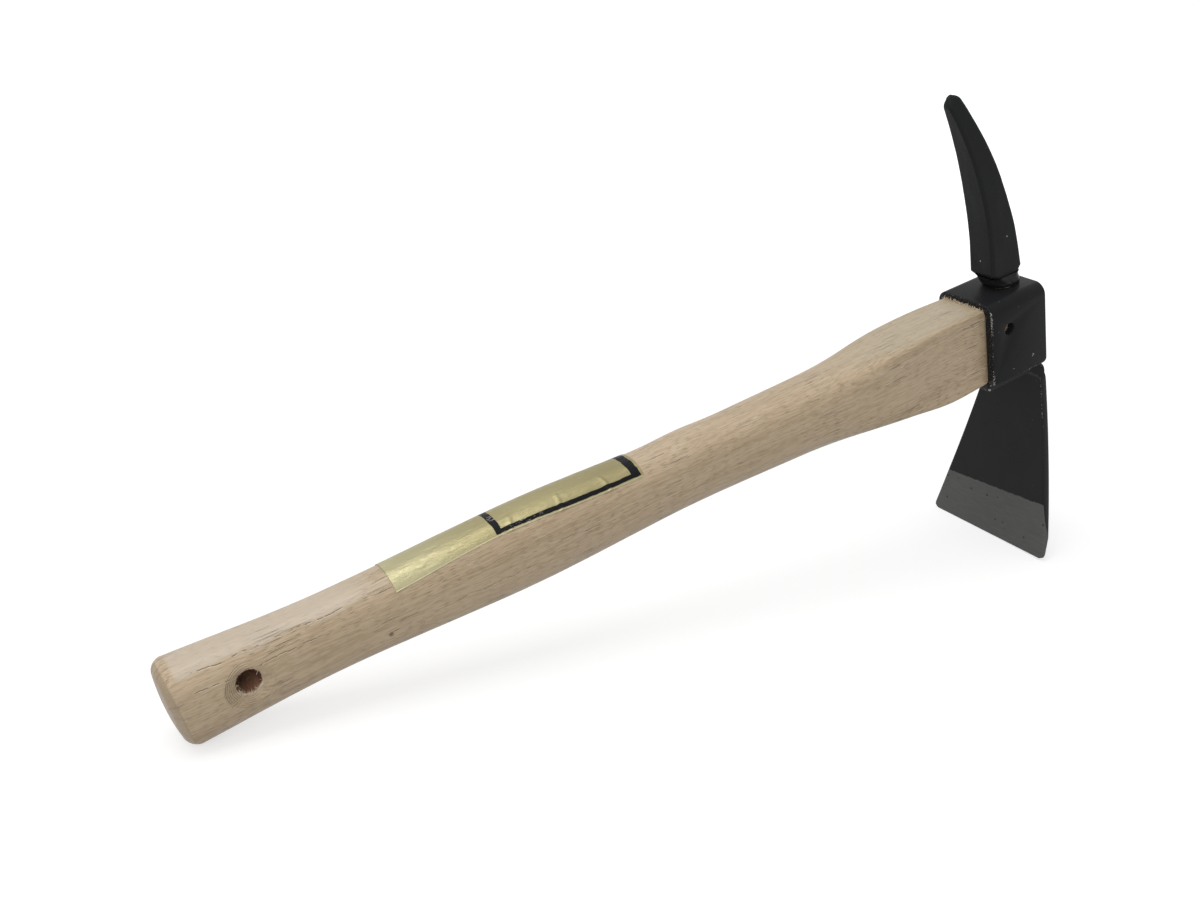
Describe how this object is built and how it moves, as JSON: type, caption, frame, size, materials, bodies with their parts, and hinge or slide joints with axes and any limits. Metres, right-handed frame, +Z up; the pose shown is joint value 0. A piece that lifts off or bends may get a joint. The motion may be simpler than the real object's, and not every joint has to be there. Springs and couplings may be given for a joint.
{
  "type": "combination hoe",
  "caption": "One-hand digging tool: a wide hoe blade below the eye and a curved narrow pick above it, welded steel on a shaped wooden handle with a hanging hole.",
  "frame": {"origin": "middle of the tool's bounding box, on the ground that the blade's edge and the butt of the handle stand on", "axes": "+X from the butt of the handle to the head, +Z up with the pick on top, +Y away from the side that has the countersink of the hanging hole"},
  "size_m": [0.4542, 0.0804, 0.2372],
  "materials": {
    "beech": "planed and unvarnished, satin",
    "black_paint": "black paint, satin, worn at the edges",
    "weld_metal": "weld bead under black paint, glossy",
    "wedge_steel": "bare, dull",
    "gold_foil": "printed gold foil, satin"
  },
  "bodies": {
    "root": {"handle": "beech", "eye_strap": "black_paint", "hoe_blade": "black_paint", "pick": "black_paint", "pick_weld": "weld_metal", "eye_weld_near": "weld_metal", "eye_weld_far": "weld_metal", "handle_wedge": "wedge_steel", "foil_label": "gold_foil"}
  },
  "joints": []
}
